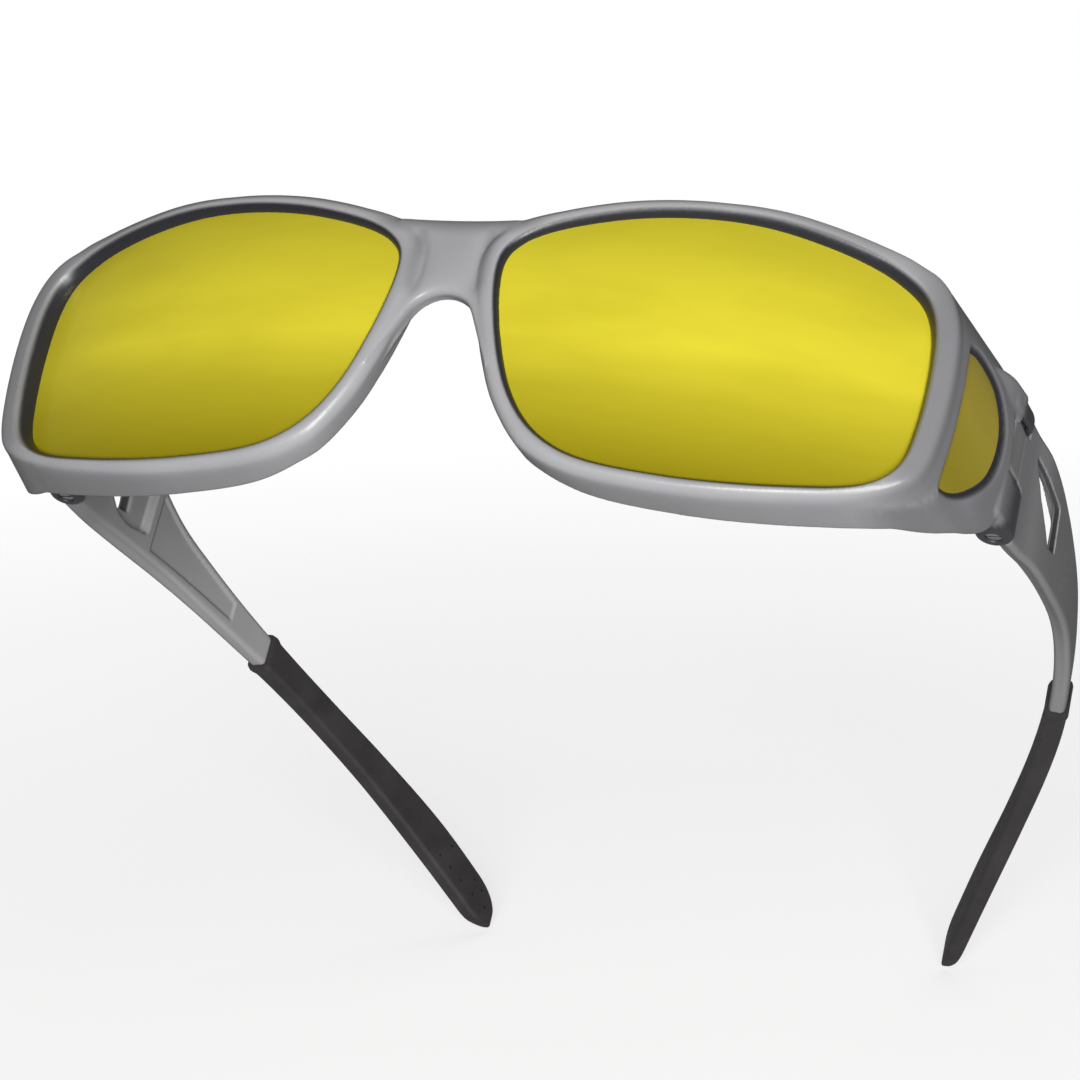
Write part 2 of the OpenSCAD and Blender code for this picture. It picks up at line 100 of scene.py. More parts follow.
# Temple: distance behind the hinge axis, shift outward, height of the lower and of the upper edge,
# share of the full thickness, rise of the bevel along the inner lower edge
TEMPLE_CURVE = [
    (-5.6, 0.3, 14.6, 37.6, 1, 0.6), (6, 0.9, 16, 37.5, 1, 0.6), (15, 1.7, 17.7, 37.5, 1.08, 0.7),
    (27, 1.7, 19.6, 36, 1.04, 0.9), (40, 1.1, 21.4, 32.8, 1.02, 0.7), (52, -0.6, 22, 30.8, 0.96, 0.4),
    (65, -3.4, 21.7, 28.4, 0.96, 0.2), (78, -7.2, 20.5, 25.8, 0.96, 0.1), (90, -11.8, 17.8, 23, 0.86, 0),
    (103, -17.9, 13.2, 19.2, 0.75, 0), (118, -25.8, 6, 13.2, 0.7, 0), (133, -33.8, -1.9, 4.9, 0.66, 0)]
# Small holes in the inner face of a sleeve: distance behind the hinge axis and height
SLEEVE_HOLES = [(120.2, 10.6), (118.2, 7.8), (120.8, 6.65), (123.6, 5.4),
                (126.4, 7.0), (128.3, 5.7), (126.6, 4.1), (129.8, 3.0)]
# Opening through a temple: distance behind the hinge axis and height
TEMPLE_WINDOW = [(6.2, 33.4), (21.9, 32.6), (22.6, 25), (18.3, 23.9), (11.5, 28.2)]
# Room on the inner side round that opening
POCKET = [(6.3, 35.8), (20, 36), (29.3, 34.2), (29.3, 24.6), (23, 22.6), (18, 22.4), (6.3, 28.4)]
LAST = len(TEMPLE_CURVE) - 1


class FrontSizes(bpy.types.PropertyGroup):
    """Sizes of the moulded front, the same as in its solids"""

    front_radius: FloatProperty(
        name="Front radius", description="Sweep of the front across the face", default=0.327, unit="LENGTH")
    wrap_depth: FloatProperty(
        name="Wrap", description="Depth that the wrap adds at 60 mm from the middle",
        default=0.0031, unit="LENGTH")
    rise_radius: FloatProperty(
        name="Rise radius", description="Curve from brow to cheek", default=0.237, unit="LENGTH")
    lean: FloatProperty(
        name="Lean", description="Forward lean of the front", default=math.radians(3.2), subtype="ANGLE")
    rim_top: FloatProperty(
        name="Brow rim", description="Width of the rim over a lens", default=0.0031, unit="LENGTH")
    rim_bottom: FloatProperty(
        name="Cheek rim", description="Width of the rim under a lens", default=0.0028, unit="LENGTH")
    rim_nose: FloatProperty(
        name="Nose rim", description="Width of the rim beside the nose", default=0.0036, unit="LENGTH")
    rim_side: FloatProperty(
        name="Side rim", description="Width of the rim at the outer side", default=0.0048, unit="LENGTH")
    crest: FloatProperty(
        name="Crest", description="Height of the rim in front of the lens", default=0.0015, unit="LENGTH")
    side_crest: FloatProperty(
        name="Side crest", description="Extra height of the crest at the outer side",
        default=0.0017, unit="LENGTH")
    wall: FloatProperty(
        name="Wall", description="Thickness of the walls behind the rims", default=0.0022, unit="LENGTH")
    voxel: FloatProperty(
        name="Grain", description="Fineness of the moulded surface", default=0.00024, unit="LENGTH")
    colour: FloatVectorProperty(
        name="Plastic", description="Colour of the moulded plastic",
        default=(0.33, 0.33, 0.338), subtype="COLOR", size=3)
    # Colour of the painted shade: the plastic is darkened towards it in its bevels and other shaded places
    shade: FloatVectorProperty(
        name="Bevel", description="Colour of the plastic deep in the bevels beside the lenses",
        default=(0.018, 0.018, 0.024), subtype="COLOR", size=3)


class LensSizes(bpy.types.PropertyGroup):
    """Sizes and tints of the lenses"""

    width: FloatProperty(
        name="Opening width", description="Width of a lens opening", default=0.0634, unit="LENGTH")
    height: FloatProperty(
        name="Opening height", description="Height of a lens opening", default=0.0424, unit="LENGTH")
    gap: FloatProperty(
        name="Gap", description="Distance between the lens openings", default=0.017, unit="LENGTH")
    thickness: FloatProperty(
        name="Thickness", description="Thickness of a lens", default=0.002, unit="LENGTH")
    seat: FloatProperty(
        name="Seat", description="Depth that a lens sits in its groove", default=0.0008, unit="LENGTH")
    # The bright and deep tints are the coating's yellow with a painted reflection in it: bright above and
    # deep below
    bright: FloatVectorProperty(
        name="Bright tint", description="Mirror coating where it is brightest",
        default=(0.71, 0.617, 0.033), subtype="COLOR", size=3)
    side_painted_reflection_tint: FloatVectorProperty(
        name="Side tint", description="Tint of the side windows where it is brightest",
        default=(0.46, 0.365, 0.03), subtype="COLOR", size=3)
    deep: FloatVectorProperty(
        name="Deep tint", description="Mirror coating where it is darkest",
        default=(0.24, 0.195, 0.002), subtype="COLOR", size=3)


class TempleSizes(bpy.types.PropertyGroup):
    """Sizes of the temples and of their soft sleeves"""

    hinge_inset: FloatProperty(
        name="Hinge inset", description="Distance of the hinge axes inside the shields' outer faces",
        default=0.0025, unit="LENGTH")
    hinge_back: FloatProperty(
        name="Hinge depth", description="Distance of the hinge axes behind the lenses' outer edges",
        default=0.0276, unit="LENGTH")
    thickness: FloatProperty(
        name="Temple thickness", description="Thickness of a temple", default=0.003, unit="LENGTH")
    length: FloatProperty(
        name="Temple length", description="Length behind the hinge", default=0.133, unit="LENGTH")
    bare: FloatProperty(
        name="Bare length", description="Length in front of the sleeve", default=0.071, unit="LENGTH")
    sleeve: FloatProperty(
        name="Sleeve wall", description="Thickness of the soft sleeve", default=0.0009, unit="LENGTH")
    sleeve_colour: FloatVectorProperty(
        name="Rubber", description="Colour of the soft sleeves",
        default=(0.024, 0.021, 0.023), subtype="COLOR", size=3)
    steel_colour: FloatVectorProperty(
        name="Steel", description="Colour of the hinge metal",
        default=(0.62, 0.62, 0.63), subtype="COLOR", size=3)


class StageSizes(bpy.types.PropertyGroup):
    """Camera, floor and light"""

    lens: FloatProperty(name="Focal length", description="Focal length at a sensor 36 mm wide", default=131.2)
    tilt: FloatProperty(
        name="Floor tilt", description="Angle between the floor and the glasses' base",
        default=math.radians(41.0), subtype="ANGLE")
    lamp: FloatProperty(
        name="Lamp power", description="Power of the main soft lamp", default=13.6, unit="POWER")
    top_lamp: FloatProperty(
        name="Top lamp power", description="Power of the soft lamp over the floor", default=1.4, unit="POWER")
    surround: FloatProperty(
        name="Surround", description="Strength of the soft surrounding light", default=0.15)


# Curves and the front's surface, in millimetres

def between(a, b, c, d, t):
    """Point at the share t from b to c on the smooth curve through a, b, c and d."""
    return 0.5 * (2 * b + (c - a) * t + (2 * a - 5 * b + 4 * c - d) * t**2 + (3 * b - a - 3 * c + d) * t**3)


def closed_curve(points, steps):
    """Smooth closed curve through points."""
    p = np.array(points, float)
    a, b, c, d = (np.roll(p, -shift, 0)[:, None, :] for shift in (-1, 0, 1, 2))
    return between(a, b, c, d, (np.arange(steps) / steps)[None, :, None]).reshape(-1, p.shape[1])


def stretched(points, coarse, steps, size, corner):
    """Smooth outline stretched to a size from its lower corner; the size is that of the coarse outline."""
    rough, fine = closed_curve(points, coarse), closed_curve(points, steps)
    low, high = rough.min(0), rough.max(0)
    return np.array(corner) + (fine - low) * np.array(size) / (high - low)


def open_curve(points, u):
    """Point of a smooth open curve at the running number u."""
    p = np.array(points, float)
    last = len(p) - 1
    i = min(int(math.floor(u)), last - 1)
    return between(p[max(i - 1, 0)], p[i], p[min(i + 1, last)], p[min(i + 2, last)], u - i)


def outward(edge):
    """Directions that point out of a closed outline."""
    t = np.roll(edge, -1, 0) - np.roll(edge, 1, 0)
    return np.stack([t[:, 1], -t[:, 0]], 1) / np.linalg.norm(t, axis=1)[:, None]


def ramp(table, value):
    """Value read from a table of pairs."""
    return float(np.interp(value, [row[0] for row in table], [row[1] for row in table]))


class Shape:
    """The front's surface and outlines, from the sizes in the panel."""

    def __init__(self, scene):
        f, l, t = scene.glasses_front, scene.glasses_lens, scene.glasses_temple
        self.radius, self.wrap, self.rise = f.front_radius / MM, f.wrap_depth / MM, f.rise_radius / MM
        self.lean, self.wall = math.tan(f.lean), f.wall / MM
        self.crest, self.side_crest = f.crest / MM, f.side_crest / MM
        self.top, self.bottom, self.nose, self.side = (
            v / MM for v in (f.rim_top, f.rim_bottom, f.rim_nose, f.rim_side))
        self.lens_w, self.lens_h, self.gap, self.lens_t, self.seat = (
            v / MM for v in (l.width, l.height, l.gap, l.thickness, l.seat))
        self.temple_t, self.temple_l, self.bare, self.sleeve = (
            v / MM for v in (t.thickness, t.length, t.bare, t.sleeve))
        self.flare, self.splay = math.tan(math.radians(9.4)), math.tan(math.radians(10))
        self.mid_z = self.bottom + self.lens_h / 2
        self.side_x = self.gap / 2 + self.lens_w
        self.hinge_y = float(self.face(self.side_x, self.mid_z)) + t.hinge_back / MM
        self.shield_rear = self.hinge_y - SHIELD_TO_HINGE
        self.window = stretched(SIDE_SHAPE, 4, 12, (WINDOW_LENGTH, 0.538 * self.lens_h), (0, 0))
        self.window += [self.hinge_y - t.hinge_back / MM + WINDOW_SETBACK, self.mid_z - 0.309 * self.lens_h]
        self.edge = stretched(LENS_SHAPE, 5, 12, (self.lens_w, self.lens_h), (self.gap / 2, self.bottom))
        self.out = outward(self.edge)
        self.side_depth = self.shield_rear - float(self.face(self.side_x, self.mid_z))
        self.hinge_x = self.side_x + self.side + self.side_depth * self.flare - t.hinge_inset / MM
        self.widths = [(-180, self.nose + 0.5), (-172, self.nose + 0.3), (-160, self.nose - 0.2),
                       (-145, self.nose - 0.3), (-130, self.nose - 0.1), (-110, self.bottom + 0.2),
                       (-95, self.bottom), (-72, self.bottom), (-60, self.bottom + 0.3), (-30, self.side),
                       (50, self.side), (70, self.top + 0.8), (90, self.top), (108, self.top + 0.2),
                       (128, self.nose + 0.7), (150, self.nose + 0.7), (180, self.nose + 0.5)]
        front_y = float(self.face(0, self.mid_z + self.lens_h / 2)) - self.crest
        self.shift = -(front_y + self.hinge_y + self.temple_l) / 2

    def face(self, x, z):
        """Depth of the lens surface behind the middle of the front."""
        return (x * x / (2 * self.radius) + self.wrap * (np.abs(x) / 60) ** 4
                - self.lean * (z - self.mid_z) + (z - self.mid_z) ** 2 / (2 * self.rise))

    def rim_width(self, n):
        """Width of the rim where it faces the direction n."""
        return ramp(self.widths, math.degrees(math.atan2(n[1], n[0])))

    def place(self, points):
        """Millimetres of the front's own frame to metres of the row's frame."""
        return (np.array(points, float) + [0, self.shift, 0]) * MM


# Mesh tools

def deselect():
    bpy.ops.object.select_all(action="DESELECT")


def activate(obj):
    deselect()
    obj.select_set(True)
    bpy.context.view_layer.objects.active = obj


def named(name):
    """The object that was made last, with its name."""
    obj = bpy.context.object
    obj.name = obj.data.name = name
    return obj


def set_points(obj, points):
    """Puts the mesh's points at their places and turns its faces outward."""
    obj.data.vertices.foreach_set("co", np.ascontiguousarray(points, np.float32).ravel())
    obj.data.update()
    activate(obj)
    bpy.ops.object.mode_set(mode="EDIT")
    bpy.ops.mesh.select_all(action="SELECT")
    bpy.ops.mesh.normals_make_consistent(inside=False)
    bpy.ops.object.mode_set(mode="OBJECT")


def shell(name, rings, ends):
    """Closed skin over rings of points, each end closed on a point, from a sphere's net."""
    rings = np.array(rings, float)
    count, n = rings.shape[:2]
    deselect()
    bpy.ops.mesh.primitive_uv_sphere_add(segments=n, ring_count=count + 1, radius=1)
    obj = named(name)
    co = np.array([v.co for v in obj.data.vertices])
    r = np.rint(np.arccos(np.clip(co[:, 2], -1, 1)) / (math.pi / (count + 1))).astype(int)
    s = np.rint(np.arctan2(co[:, 1], co[:, 0]) / (2 * math.pi / n)).astype(int) % n
    points = rings[np.clip(r - 1, 0, count - 1), s]
    points[r == 0] = ends[0]
    points[r == count + 1] = ends[1]
    set_points(obj, points)
    return obj


def skin(name, s, rings):
    """Closed skin over rings in millimetres, closed on the middles of the first and of the last."""
    rings = s.place(rings)
    return shell(name, rings, [rings[0].mean(0), rings[-1].mean(0)])


def hoop(name, rings):
    """Closed skin over rings that follow each other round a loop, from a torus's net."""
    rings = np.array(rings, float)
    m, n = rings.shape[:2]
    deselect()
    bpy.ops.mesh.primitive_torus_add(major_segments=m, minor_segments=n, major_radius=1, minor_radius=0.25)
    obj = named(name)
    co = np.array([v.co for v in obj.data.vertices])
    i = np.rint(np.arctan2(co[:, 1], co[:, 0]) / (2 * math.pi / m)).astype(int) % m
    j = np.rint(np.arctan2(co[:, 2], np.hypot(co[:, 0], co[:, 1]) - 1) / (2 * math.pi / n)).astype(int) % n
    set_points(obj, rings[i, j])
    return obj


def prism(name, s, outline, low, high):
    """Block inside an upright outline, between two heights."""
    return skin(name, s, [[(x, y, z) for x, y in outline] for z in (low, high)])


def box(name, s, low, high):
    """Block between two corners."""
    low, high = np.array(low, float), np.array(high, float)
    deselect()
    bpy.ops.mesh.primitive_cube_add(size=1, location=s.place((low + high) / 2))
    obj = named(name)
    obj.scale = (high - low) * MM
    bpy.ops.object.transform_apply()
    return obj


def rod(name, s, centre, radius, low, high, sides=48):
    """Upright round bar."""
    deselect()
    bpy.ops.mesh.primitive_cylinder_add(vertices=sides, radius=radius * MM, depth=(high - low) * MM,
                                        location=s.place([*centre, (low + high) / 2]))
    bpy.ops.object.transform_apply()
    return named(name)


def apply(obj, kind, **settings):
    """Adds a modifier, sets it and applies it."""
    activate(obj)
    modifier = obj.modifiers.new(kind.title(), kind)
    for key, value in settings.items():
        setattr(modifier, key, value)
    bpy.ops.object.modifier_apply(modifier=modifier.name)


def cut(obj, *cutters):
    """Takes blocks out of a piece and removes them."""
    for c in cutters:
        apply(obj, "BOOLEAN", operation="DIFFERENCE", solver="EXACT", object=c)
        bpy.data.objects.remove(c)
    return obj


def join(name, *parts):
    """One object of several."""
    activate(parts[0])
    for part in parts:
        part.select_set(True)
    bpy.ops.object.join()
    return named(name)


def mirrored(obj, name):
    """Copy of a piece on the other side of the face."""
    twin = obj.copy()
    twin.data = obj.data.copy()
    twin.name = twin.data.name = name
    bpy.context.scene.collection.objects.link(twin)
    co = np.array([v.co for v in twin.data.vertices]) * [-1, 1, 1]
    set_points(twin, co)
    return twin


def mould(obj, voxel, s, joins=None):
    """One even skin with softly rounded edges, and softer joins where a rule gives weights."""
    apply(obj, "REMESH", mode="VOXEL", voxel_size=voxel)
    if joins:
        group = obj.vertex_groups.new(name="joins")
        weights = joins(s, millimetres(s, obj))
        for index in np.flatnonzero(weights > 0.02):
            group.add([int(index)], float(weights[index]), "REPLACE")
        apply(obj, "SMOOTH", factor=0.5, iterations=24, vertex_group="joins")
        obj.vertex_groups.clear()
    apply(obj, "SMOOTH", factor=0.5, iterations=3)
    obj.data.calc_loop_triangles()
    count = len(obj.data.loop_triangles)
    if count > MOST_TRIANGLES:
        apply(obj, "DECIMATE", ratio=MOST_TRIANGLES / count)
    activate(obj)
    bpy.ops.object.shade_smooth()


def smooth(obj):
    """Smooth shading up to edges of 40 degrees."""
    activate(obj)
    bpy.ops.object.shade_smooth_by_angle(angle=math.radians(40))


def finish_piece(obj, body, slot, *nodes):
    """Puts a piece on its body and in the place of its solids."""
    if not obj.data.polygons:
        raise RuntimeError(obj.name + " has no faces")
    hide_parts(*nodes)
    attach(obj, body)


def finish_pair(right, body_right, body_left, slot, node):
    """Mirrors a finished right-hand piece and puts both in the places of their solids."""
    left = mirrored(right, right.name.replace("right", "left"))
    finish_piece(right, body_right, slot, node + "_right")
    finish_piece(left, body_left, slot, node + "_left")


# Materials

class Finish:
    """A material and the nodes that make its pattern."""

    def __init__(self, name):
        self.material = bpy.data.materials.new(name)
        self.material.use_nodes = True
        self.nodes, self.links = self.material.node_tree.nodes, self.material.node_tree.links
        self.nodes.clear()
        out = self.nodes.new("ShaderNodeOutputMaterial")
        self.shader = self.nodes.new("ShaderNodeBsdfPrincipled")
        self.links.new(self.shader.outputs["BSDF"], out.inputs["Surface"])
        self.place = self.nodes.new("ShaderNodeTexCoord").outputs["Object"]

    def feed(self, socket, value):
        """Links a socket to another one, or gives it a value."""
        if hasattr(value, "is_linked"):
            self.links.new(value, socket)
        else:
            socket.default_value = value

    def set(self, socket, value):
        """Feeds a socket of the shader."""
        self.feed(self.shader.inputs[socket], value)

    def add(self, kind, output, inputs, **settings):
        """Adds a node, feeds its inputs and gives one of its outputs."""
        node = self.nodes.new("ShaderNode" + kind)
        for key, value in settings.items():
            setattr(node, key, value)
        for socket, value in inputs.items():
            self.feed(node.inputs[socket], value)
        return node.outputs[output]

    def noise(self, scale, detail, vector=None):
        """Cloudy pattern on the piece's own coordinates, or on stretched ones."""
        vector = self.place if vector is None else vector
        return self.add("TexNoise", "Fac", {"Scale": scale, "Detail": detail, "Vector": vector})

    def stretch(self, scale):
        """The piece's own coordinates, scaled by axis."""
        return self.add("Mapping", "Vector", {"Vector": self.place, "Scale": scale})

    def spread(self, value, low, high, start=0.0, end=1.0):
        """Brings a value from the range start to end into the range low to high."""
        ranges = {"From Min": start, "From Max": end, "To Min": low, "To Max": high}
        return self.add("MapRange", "Result", {"Value": value, **ranges})

    def mixed(self, factor, a, b):
        """Colour between two colours."""
        a, b = (c if hasattr(c, "is_linked") else (*c, 1) for c in (a, b))
        return self.add("Mix", "Result", {"Factor": factor, "A": a, "B": b}, data_type="RGBA")

    def relief(self, height, distance, strength):
        """Fine relief over the whole surface."""
        inputs = {"Height": height, "Distance": distance, "Strength": strength}
        self.set("Normal", self.add("Bump", "Normal", inputs))


def plastic_material(colour, shade):
    """Satin grey plastic, faintly cloudy, with a moulding grain, and painted shade in its bevels, on other
    marked places and on faces seen at a slant.
    """
    finish = Finish("satin_grey_plastic")
    cloud = finish.spread(finish.noise(60, 2), 0.0, 1.0, 0.35, 0.65)
    grey = finish.mixed(cloud, tuple(0.92 * c for c in colour), colour)
    # Painted shade: the marked places and the faces seen at a slant are darkened towards the shade colour
    depth = finish.add("Attribute", "Fac", {}, attribute_name="painted_shade_mark")
    facing = finish.add("LayerWeight", "Facing", {"Blend": 0.5})
    painted_slant_shade = finish.spread(facing, 0.0, 0.75, 0.35, 1.0)
    painted_shade = finish.add("Math", "Value", {0: depth, 1: painted_slant_shade}, operation="MAXIMUM")
    finish.set("Base Color", finish.mixed(painted_shade, grey, shade))
    grain = finish.noise(1500, 2)
    finish.set("Roughness", finish.spread(grain, 0.30, 0.38, 0.3, 0.7))
    finish.relief(grain, 0.00001, 0.12)
    finish.set("Specular IOR Level", 0.36)
    return finish.material


def lens_material(name, bright, deep):
    """Yellow mirror coating with a painted reflection: lighter in its upper half and deeper below, with soft
    painted streaks.
    """
    finish = Finish(name)
    # Painted reflection: the tint runs from deep below to bright above by height, with soft streaks across it
    height = finish.add("SeparateXYZ", "Z", {"Vector": finish.place})
    reflection_bands = finish.add("ValToRGB", "Color", {"Fac": finish.spread(height, 0.0, 1.0, 0.002, 0.045)})
    stops = reflection_bands.node.color_ramp.elements
    stops[0].color, stops[1].color = (*deep, 1), (*(0.7 * c for c in bright), 1)
    middle = tuple(0.5 * (a + b) for a, b in zip(bright, deep))
    for place, colour in ((0.3, middle), (0.5, bright), (0.72, tuple(0.92 * c for c in bright))):
        stops.new(place).color = (*colour, 1)
    reflection_streak = finish.noise(120, 3, finish.stretch((0.3, 0.3, 1.0)))
    amount = finish.spread(reflection_streak, 0.0, 0.16, 0.4, 0.7)
    finish.set("Base Color", finish.mixed(amount, reflection_bands, deep))
    finish.set("Roughness", finish.spread(finish.noise(900, 2), 0.20, 0.26))
    finish.set("Metallic", 0.15)
    finish.set("Specular IOR Level", 0.35)
    return finish.material


def rubber_material(colour):
    """Matt black rubber with a fine skin."""
    finish = Finish("black_sleeve_rubber")
    cloud = finish.spread(finish.noise(140, 3), 0.0, 1.0, 0.35, 0.65)
    finish.set("Base Color", finish.mixed(cloud, colour, tuple(1.5 * c for c in colour)))
    fine = finish.noise(3200, 3)
    finish.set("Roughness", finish.spread(fine, 0.42, 0.58, 0.3, 0.7))
    finish.relief(fine, 0.00004, 0.4)
    return finish.material


def steel_material(colour):
    """Brushed hinge steel."""
    finish = Finish("brushed_hinge_steel")
    brush = finish.noise(9000, 2, finish.stretch((1.0, 1.0, 0.08)))
    finish.set("Base Color", finish.mixed(brush, tuple(0.8 * c for c in colour), colour))
    finish.set("Roughness", finish.spread(brush, 0.24, 0.4))
    finish.relief(brush, 0.00001, 0.3)
    finish.set("Metallic", 1.0)
    return finish.material


def floor_material():
    """Pale floor that thins out with distance and is open from behind."""
    finish = Finish("pale_floor")
    finish.set("Base Color", (0.6, 0.6, 0.6, 1))
    finish.set("Roughness", 0.9)
    finish.set("Specular IOR Level", 0.0)
    finish.set("Emission Color", (1, 1, 1, 1))
    distance = finish.add("VectorMath", "Value", {0: finish.place}, operation="LENGTH")
    solid = finish.spread(distance, 1.0, 0.0, 0.12, 0.5)
    seen = finish.add("LightPath", "Is Camera Ray", {})
    finish.set("Emission Strength", finish.spread(seen, 0.0, 0.6))
    behind = finish.add("NewGeometry", "Backfacing", {})
    opaque = finish.add("Math", "Value", {0: solid, 1: behind}, operation="SUBTRACT", use_clamp=True)
    finish.set("Alpha", opaque)
    return finish.material


def painted(obj, material):
    """Gives a piece its only material."""
    obj.data.materials.clear()
    obj.data.materials.append(material)


# Front

def outer_share(n):
    """How much a place of the rim belongs to the outer side, from 0 to 1."""
    return min(max(1.3 * n[0], 0), 1)


def rim_rings(s):
    """Sections of a rim round the lens opening, with the lens groove and the walls behind."""
    depths = [(-180, 4.6), (-120, 4.6), (-85, 7), (-60, 8.5), (-30, 0.62 * s.side_depth), (-8, s.side_depth),
              (46, s.side_depth), (58, 0.5 * s.side_depth), (75, 7), (130, 7), (180, 4.6)]
    back, bed = s.lens_t + GROOVE_PLAY, s.seat + LENS_PLAY
    groove = np.array([(0.3, back + 1.2), (0.3, back), (0.6, back), (bed, back), (bed, 0.6 * back),
                       (bed, LIP_DEPTH), (0.5 * bed, LIP_DEPTH)])
    rings = []
    for p, n in zip(s.edge, s.out):
        w, side = s.rim_width(n), outer_share(n)
        deep = ramp(depths, math.degrees(math.atan2(n[1], n[0])))
        y0, high = s.face(*p), s.crest + s.side_crest * side * (1 - 0.75 * max(n[1], 0))
        splay = side * s.flare if n[0] > 0 else -n[0] * s.splay
        crest = [(0, LIP_DEPTH), (0.1 + 0.3 * side, -0.4 * high), (0.9 + 0.8 * side, -0.97 * high),
                 (0.5 * w + 0.3 - 0.4 * side, -high), (0.85 * w, -(0.55 + 0.24 * side) * high),
                 (w - 0.1, 0.1 - 0.45 * side * high), (w, 1.6)]
        body = [open_curve(crest, u) for u in np.linspace(0, 6, 31)]
        for end, steps in (((w, deep - 0.6), 12), ((w - 0.5, deep), 2), ((w - s.wall + 0.4, deep), 2),
                           ((w - s.wall, deep - 0.5), 2), ((w - s.wall, back + 1.6), 10)):
            start = np.array(body[-1])
            body += [start + (np.array(end) - start) * k / steps for k in range(1, steps + 1)]
        ring = [(p[0] + q[0] * n[0] + splay * max(q[1], 0), y0 + q[1], p[1] + q[0] * n[1]) for q in body]
        for q in groove:
            x, z = p + q[0] * n
            ring.append((x, s.face(x, z) + q[1], z))
        rings.append(ring)
    return s.place(rings)


def shield_x(s, y, z):
    """Outer face of the side shield at a depth and a height."""
    used = s.out[:, 0] > 0.3
    edge, out = s.edge[used], s.out[used]
    width = np.array([s.rim_width(n) for n in out])
    slopes = np.array([outer_share(n) * s.flare for n in out])
    heights = edge[:, 1] + width * out[:, 1]
    order = np.argsort(heights)

    def value(values):
        return np.interp(z, heights[order], values[order])

    return value(edge[:, 0] + width * out[:, 0]) + value(slopes) * (y - value(s.face(*edge.T)))


def side_plate(name, s, grow_in, grow_out, inner, outer, rings=(0.06, 0.35, 0.6, 0.8, 1)):
    """Curved plate in the shield, inside the side window's outline grown by a width at each face."""
    plain, middle = s.window, s.window.min(0) / 2 + s.window.max(0) / 2
    layers, ends = [], []
    for depth, grow, shares in ((inner, grow_in, rings), (outer, grow_out, rings[::-1])):
        edge = plain - grow * outward(plain)
        for share in shares:
            y, z = (middle + share * (edge - middle)).T
            layers.append(np.stack([shield_x(s, y, z) + depth, y, z], 1))
        ends.append(np.array([shield_x(s, *middle) + depth, *middle]))
    return shell(name, s.place(layers), s.place(ends))


def rounded_block(name, s, circles, levels):
    """Upright block round some circles, with levels of height and inset and a top that falls outward."""
    low, high = levels[0][0], levels[-1][0]
    rings = []
    for height, inset in levels:
        ring = []
        for a in np.linspace(0, 2 * math.pi, 64, endpoint=False):
            d = np.array([math.cos(a), math.sin(a)])
            x, y, r = max(circles, key=lambda c: np.dot(c[:2], d) + c[2])
            x, y = x + (r - inset) * d[0], y + (r - inset) * d[1]
            fall = LUG_SLOPE * max(x - circles[0][0] + 1, 0) * (height - low) / (high - low)
            ring.append((x, y, height - fall))
        rings.append(ring)
    return skin(name, s, rings)


def shoulder(s):
    """Fuller upper edge that carries a shield into its upper lug."""
    rings = []
    for back in np.linspace(-14, 2, 33):
        y, share = s.shield_rear + back, float(ease(back, -14, -2))
        x, top = shield_x(s, y, 33) + 0.4 - 1.6 * (1 - share), 35.8 + 2.1 * share
        foot = 34.9 - 2.4 * float(ease(back, -6, -2))
        rings.append([(x - 2, y, foot), (x - 0.5, y, foot), (x, y, top - 0.8), (x - 0.25, y, top - 0.3),
                      (x - 0.8, y, top), (x - 1.6, y, top), (x - 2, y, top - 0.5)])
    return skin("shoulder", s, rings)


def on_shield(s, x, y):
    """Point of the side shield: distance out of its face and distance behind its rear edge."""
    a = math.atan(s.flare)
    return np.array([s.side_x + s.side + s.side_depth * s.flare + x * math.cos(a) + y * math.sin(a),
                     s.shield_rear - x * math.sin(a) + y * math.cos(a)])


def leaf_seat(s):
    """Rooms for the hinge's metal between the lower lug's floor and the upper lug's roof."""
    cx, cy, r, low, high = s.hinge_x, s.hinge_y, KNUCKLE_ROOM, 16.2, 37.2
    slot = [on_shield(s, x, y) for x, y in ((-6.2, -3), (-1.2, -3), (-1.2, 5.8), (-6.2, 5.8))]
    return [rod("knuckle_room", s, (cx, cy), r, low, high),
            box("inner_room", s, (cx - 3.6, cy - r, low), (cx, cy + r + 2.6, high)),
            prism("plate_room", s, slot, low + 0.5, high - 0.5),
            rod("head_room", s, (cx, cy), 1.3, 14, low + 0.1)]


def bridge_shell(s):
    """Saddle bridge between the rims, with a round arch that runs out into straight legs."""
    half, arch, r, thick, steep = 9.7, 29.6, 5.65, 3.3, math.radians(65)
    turn = r * math.sin(steep)
    rings = []
    for x in np.linspace(-half, half, 49):
        low = arch - r + math.sqrt(r * r - min(abs(x), turn) ** 2) - math.tan(steep) * max(abs(x) - turn, 0)
        even, pad = 0.9 * (1 - (x / half) ** 2), ramp(BRIDGE_DISH, abs(x))
        top = 42.8 - 0.2 * (x / half) ** 2
        points = [(1.2, top), (0.4, top - 0.5), (0.05, top - 1.5), (0.15, (top + low) / 2), (0, low + 1.6),
                  (0.2, low + 0.5), (0.9, low), (thick - 1, low + 0.3), (thick, low + 1.2),
                  (thick, top - 1.2), (thick - 0.8, top - 0.2)]
        outline = closed_curve(points, 4)
        shares = np.maximum(ease(outline[:, 1], 35.5, 41.5), 1 - ease(outline[:, 1], 28, 33))
        dishes = pad + (even - pad) * shares - s.crest
        rings.append([(x, float(s.face(x, z)) + dish + y, z) for dish, (y, z) in zip(dishes, outline)])
    return skin("bridge", s, rings)


